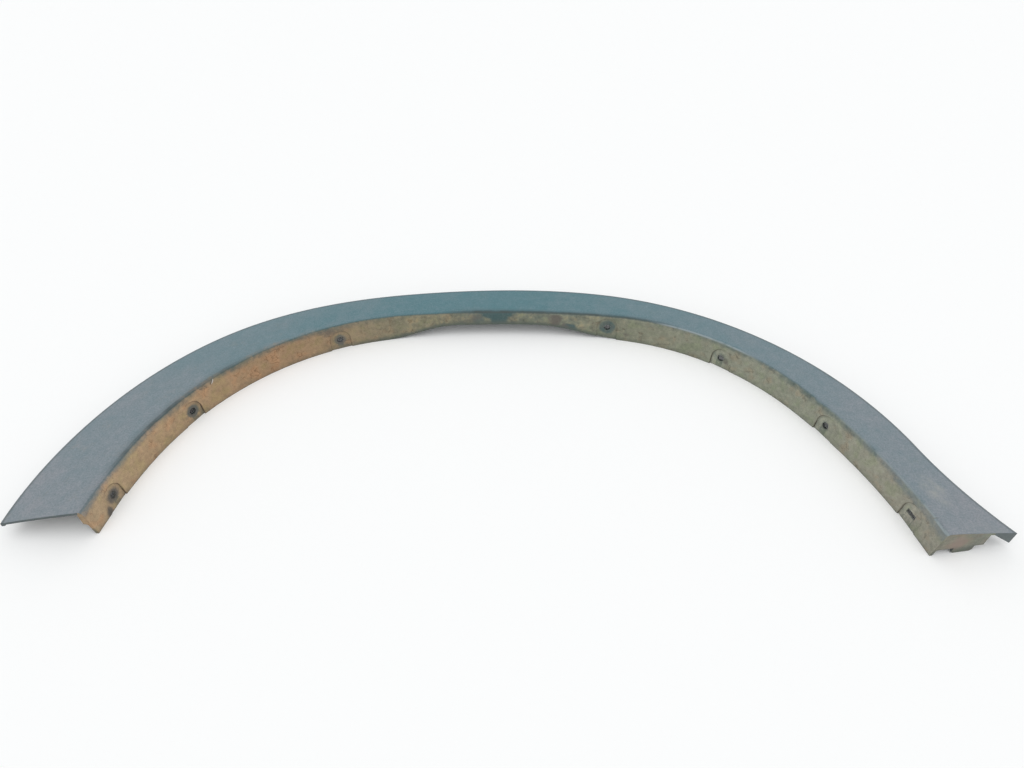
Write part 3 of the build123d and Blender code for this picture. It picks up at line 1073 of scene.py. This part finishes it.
@dataclass
class TrimMoulding:
    """The one moulded piece: a refined copy of its solid with mud on the wheel side of the flange."""

    flange: Flange
    dirt: Dirt
    limits: ZoneLimits = ZoneLimits()
    node: str = "wheel_arch_trim"
    name: str = "trim_moulding"
    slot: str = "trim_plastic"
    far: float = 1.0
    weld: float = 0.02 * MM
    passes: int = 10
    station_digits: int = 4
    seat_mesh: float = 1.5 * MM
    flange_mesh: float = 2.4 * MM
    face_mesh: float = 7 * MM
    smooth_angle: float = math.radians(34.0)
    over_depth: Step = Step(0.8 * MM, 2.6 * MM)
    over_height: Step = Step(27.5 * MM, 29.5 * MM)
    aged_right: Step = Step(0.38, 0.50)
    aged_left: Step = Step(-0.36, -0.46)
    aged_height: Step = Step(18 * MM, 28 * MM, 0.0, 0.55)
    seam_reach: float = 24 * MM
    relief_group: str = "mud_relief"
    relief_seat: Step = Step(1 * MM, 4 * MM)
    relief_foot: Step = Step(2 * MM, 5 * MM)
    relief_top: Step = Step(25.5 * MM, 21 * MM)
    relief_end: Step = Step(-0.152, -0.142)
    least_weight: float = 0.01
    reliefs: tuple[Relief, ...] = (
        Relief("mud_lumps", 16 * MM, 0.45 * MM),
        Relief("mud_crumbs", 6 * MM, 0.25 * MM),
    )
    piece: Object = field(init=False)

    def build(self, finishes: Finishes) -> Object:
        """Make the piece and dress it.

        Args:
            finishes: Maker of its materials.

        Returns:
            The finished piece.
        """
        self.copy_solid()
        self.refine()
        self.mark_layers()
        self.dress(finishes.all())
        self.lay_mud()
        self.smooth_normals()
        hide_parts(self.node)
        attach(self.piece, "root")
        return self.piece

    def copy_solid(self) -> None:
        """Copy the solid's mesh into a piece of its own and weld its loose triangles."""
        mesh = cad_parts[self.node].data.copy()
        mesh.name = self.name
        self.piece = bpy.data.objects.new(self.name, mesh)
        bpy.context.scene.collection.objects.link(self.piece)
        bpy.ops.object.select_all(action="DESELECT")
        self.piece.select_set(True)
        bpy.context.view_layer.objects.active = self.piece
        bpy.ops.object.mode_set(mode="EDIT")
        bpy.ops.mesh.select_all(action="SELECT")
        bpy.ops.mesh.remove_doubles(threshold=self.weld)
        bpy.ops.object.mode_set(mode="OBJECT")

    def mesh_limit(self, point: Vector) -> float:
        """Longest edge that may stay at a place.

        Args:
            point: Middle of the edge.

        Returns:
            A length in metres.
        """
        station, _, depth, _ = self.flange.locate(point)
        off_fold = depth > self.flange.fold_reach or point.z < self.flange.fold_height
        if depth > self.flange.skin and off_fold:
            return self.face_mesh
        along, up = self.dirt.nearest_seat(station).local(station, point.z)
        return self.seat_mesh if math.hypot(along, up) < Seat.radius else self.flange_mesh

    def refine(self) -> None:
        """Split long edges, finely where mud will lie and coarsely elsewhere."""
        bpy.ops.object.mode_set(mode="EDIT")
        bpy.ops.mesh.select_mode(type="EDGE")
        for _ in range(self.passes):
            mesh = bmesh.from_edit_mesh(self.piece.data)
            picked = 0
            for edge in mesh.edges:
                length = edge.calc_length()
                split = length > self.face_mesh
                if not split and length > self.seat_mesh:
                    split = length > self.mesh_limit((edge.verts[0].co + edge.verts[1].co) / 2)
                edge.select_set(split)
                picked += split
            bmesh.update_edit_mesh(self.piece.data)
            if not picked:
                break
            bpy.ops.mesh.subdivide(number_cuts=1)
        bpy.ops.mesh.select_all(action="SELECT")
        bpy.ops.mesh.quads_convert_to_tris()
        bpy.ops.object.mode_set(mode="OBJECT")

    def free_edge(self) -> list[tuple[float, float]]:
        """Heights of the flange's free edge.

        Returns:
            Distances along the edge with the height there, in order.
        """
        mesh = self.piece.data
        found = {}
        for facet in mesh.polygons:
            if facet.normal.z > -self.limits.up_facing:
                continue
            for index in facet.vertices:
                place = mesh.vertices[index].co
                station, _, depth, _ = self.flange.locate(place)
                if depth < self.flange.skin and place.z < self.flange.ridge / 2:
                    found[round(station, self.station_digits)] = place.z
        return sorted(found.items())

    def outer_edge(self) -> kdtree.KDTree:
        """Points of the outer edge, to measure from.

        Returns:
            A search tree of points in plan.
        """
        mesh = self.piece.data
        limits = self.limits
        picked = set()
        for facet in mesh.polygons:
            _, outside, _, outward = self.flange.locate(facet.center)
            at_end = facet.center.y < limits.end_line
            least = limits.edge_outside_end if at_end else limits.edge_outside
            if outside > least and facet.normal.dot(outward) > limits.outer_facing:
                picked.update(facet.vertices)
        tree = kdtree.KDTree(len(picked))
        for index in picked:
            tree.insert((*mesh.vertices[index].co.xy, 0.0), index)
        tree.balance()
        return tree

    def layers_at(self, place: Vector, edge: list[tuple[float, float]], outer: kdtree.KDTree) -> dict:
        """What the finishes read at one point.

        Args:
            place: The point.
            edge: Heights of the flange's free edge.
            outer: Points of the outer edge.

        Returns:
            A value for each layer.
        """
        station, outside, depth, _ = self.flange.locate(place)
        inset = outside - self.flange.ridge * self.flange.lean
        on_flange = depth < self.flange.skin and place.z < self.flange.fold_height
        over = self.over_depth.at(depth) * self.over_height.at(place.z)
        aged = max(self.aged_right.at(station), self.aged_left.at(station)) * self.aged_height.at(place.z)
        seat = self.dirt.nearest_seat(station)
        along, up = seat.local(station, place.z)
        low = edge[min(len(edge) - 1, bisect_left(edge, (station, 0.0)))][1]
        return {
            Layer.STATION: station,
            Layer.SIDE: 1.0 if depth > self.limits.face_depth else max(over, aged),
            Layer.INSET: inset,
            Layer.RISE: place.z - low if on_flange else self.far,
            Layer.RIM: outer.find((place.x, place.y, 0.0))[2],
            Layer.MUD: self.dirt.mud(station, depth, place.z),
            Layer.STAIN: self.dirt.stain(station, place.z) if on_flange else 0.0,
            Layer.DUST: self.dirt.drift(station, inset),
            Layer.ALONG: along,
            Layer.UP: up if abs(along) < self.seam_reach and on_flange else self.far,
            Layer.SEAM: seat.seam,
        }

    def mark_layers(self) -> None:
        """Store at each point what the finishes read, and the weight of the mud's relief."""
        mesh = self.piece.data
        edge, outer = self.free_edge(), self.outer_edge()
        rows = [self.layers_at(vert.co, edge, outer) for vert in mesh.vertices]
        for layer in Layer:
            values = [row[layer] for row in rows]
            mesh.attributes.new(layer.value, "FLOAT", "POINT").data.foreach_set("value", values)
        group = self.piece.vertex_groups.new(name=self.relief_group)
        for vert, row in zip(mesh.vertices, rows):
            clear = self.relief_seat.at(Seat.beyond(row[Layer.ALONG], row[Layer.UP]))
            band = self.relief_foot.at(row[Layer.RISE]) * self.relief_top.at(vert.co.z)
            weight = row[Layer.MUD] * clear * band * self.relief_end.at(vert.co.y)
            if weight > self.least_weight and row[Layer.RISE] < self.flange.ridge:
                group.add([vert.index], weight, "REPLACE")

    def zone(self, middle: Vector, normal: Vector) -> Zone:
        """Zone of one facet.

        Args:
            middle: Its middle.
            normal: Its normal.

        Returns:
            The zone that it belongs to.
        """
        limits = self.limits
        station, outside, depth, outward = self.flange.locate(middle)
        facing = normal.dot(outward)
        at_end = middle.y < limits.end_line and abs(middle.x) > limits.end_aside
        if at_end and normal.y < limits.end_facing and depth > limits.end_front:
            left = limits.left_foot if middle.z < limits.left_fold else limits.left_top
            muddy = outside < (limits.end_wall if middle.x > 0.0 else left)
            return Zone.END if muddy else Zone.EDGE
        near = self.dirt.nearest_seat(station).from_hole(station, middle.z)
        if near < limits.bore_reach and abs(facing) < limits.bore_facing and depth < limits.face_depth:
            return Zone.BORE
        if facing > limits.edge_facing and outside > limits.edge_outside and normal.z > limits.edge_under:
            return Zone.EDGE
        shallow = depth < limits.flange_depth and normal.z > -limits.up_facing
        wheel_side = facing < limits.wheel_facing or depth < limits.wheel_depth
        on_flange = shallow and wheel_side and facing < limits.flange_facing
        return Zone.SKIN if normal.z > limits.up_facing or on_flange else Zone.BACK

    def dress(self, materials: dict[Zone, Material]) -> None:
        """Give each facet its zone's material.

        Args:
            materials: Material of each zone.
        """
        mesh = self.piece.data
        mesh.materials.clear()
        for zone in Zone:
            mesh.materials.append(materials[zone])
        for facet in mesh.polygons:
            facet.material_index = self.zone(facet.center, facet.normal).value

    def lay_mud(self) -> None:
        """Raise the mud off the flange in broad lumps and smaller crumbs."""
        for relief in self.reliefs:
            clouds = bpy.data.textures.new(relief.name, "CLOUDS")
            clouds.noise_scale = relief.size
            clouds.noise_depth = relief.octaves
            bpy.ops.object.modifier_add(type="DISPLACE")
            raised = self.piece.modifiers[-1]
            raised.name = relief.name
            raised.texture = clouds
            raised.texture_coords = "LOCAL"
            raised.vertex_group = self.relief_group
            raised.strength = relief.height
            raised.mid_level = relief.level
            bpy.ops.object.modifier_apply(modifier=relief.name)

    def smooth_normals(self) -> None:
        """Shade the moulding smoothly, with its flat areas leading its small radii."""
        bpy.ops.object.shade_smooth_by_angle(angle=self.smooth_angle)
        bpy.ops.object.modifier_add(type="WEIGHTED_NORMAL")
        weighted = self.piece.modifiers[-1]
        weighted.keep_sharp = True
        bpy.ops.object.modifier_apply(modifier=weighted.name)


@dataclass
class Studio:
    """Pale floor, soft light and the camera."""

    camera_place: Place = (0.00596, -0.52545, 0.557)
    camera_tilt: float = math.radians(45.4)
    camera_near: float = 0.01
    lens: float = 24.71
    sensor: float = 36.0
    floor_size: float = 8.0
    floor_colour: Colour = (0.985, 0.985, 0.98)
    floor_rough: float = 0.8
    floor_specular: float = 0.1
    floor_white: float = 0.01
    sky: Colour = (0.975, 0.99, 1.0)
    sky_strength: float = 0.70
    sky_seen: float = 1.0
    key_place: Place = (0.0, -0.6, 2.0)
    key_spread: float = math.radians(70.0)
    key_strength: float = 1.0

    def build(self) -> None:
        """Make the floor, the light and the camera."""
        self.floor()
        self.light()
        self.camera()

    @staticmethod
    def seen(graph: Graph) -> Value:
        """1 for rays that show the backdrop, straight or mirrored, and 0 for those that light the part.

        Args:
            graph: Tree of the floor or the sky.

        Returns:
            The test's result.
        """
        path = graph.add("ShaderNodeLightPath").outputs
        kinds = ("Is Camera Ray", "Is Glossy Ray", "Is Transmission Ray")
        camera, glossy, through = (Value(graph, path[kind]) for kind in kinds)
        return camera.at_least(glossy.at_least(through))

    def floor(self) -> None:
        """Lay a plain pale floor that takes a soft shadow."""
        bpy.ops.object.select_all(action="DESELECT")
        bpy.ops.mesh.primitive_plane_add(size=self.floor_size)
        plane = bpy.context.object
        plane.name = "floor"
        made = bpy.data.materials.new("pale_floor")
        made.use_nodes = True
        made.node_tree.nodes.clear()
        graph = Graph(made.node_tree)
        matt = graph.read("BsdfPrincipled", "BSDF", {
            "Base Color": self.floor_colour,
            "Roughness": self.floor_rough,
            "Specular IOR Level": self.floor_specular,
        })
        white = graph.read("Emission", "Emission")
        share = self.seen(graph) * self.floor_white
        surface = graph.read("MixShader", "Shader", {0: share, 1: matt, 2: white})
        graph.add("ShaderNodeOutputMaterial", {"Surface": surface})
        plane.data.materials.append(made)

    def light(self) -> None:
        """Light the part from a pale sky and one broad key light above the camera."""
        world = bpy.data.worlds.new("studio")
        world.use_nodes = True
        graph = Graph(world.node_tree)
        strength = graph.between(self.seen(graph), self.sky_strength, self.sky_seen)
        graph.fill(world.node_tree.nodes["Background"], {"Color": self.sky, "Strength": strength})
        bpy.context.scene.world = world
        bpy.ops.object.light_add(type="SUN", location=self.key_place)
        key = bpy.context.object
        key.name = "key"
        key.data.angle = self.key_spread
        key.data.energy = self.key_strength
        key.rotation_euler = (-Vector(self.key_place)).to_track_quat("-Z", "Y").to_euler()

    def camera(self) -> None:
        """Set the camera where the photograph was taken from."""
        bpy.ops.object.camera_add(location=self.camera_place, rotation=(self.camera_tilt, 0.0, 0.0))
        camera = bpy.context.object
        camera.data.lens = self.lens
        camera.data.sensor_width = self.sensor
        camera.data.clip_start = self.camera_near
        bpy.context.scene.camera = camera
        bpy.context.scene.view_settings.view_transform = "Standard"


def main() -> None:
    """Build the studio and the trim."""
    logging.basicConfig(level=logging.INFO, format="%(name)s %(message)s")
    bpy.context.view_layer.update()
    Studio().build()
    flange = Flange()
    piece = TrimMoulding(flange, Dirt(flange)).build(Finishes(Effects()))
    LOG.info("%s has %d points and %d facets", piece.name, len(piece.data.vertices), len(piece.data.polygons))


if __name__ == "__main__":
    main()
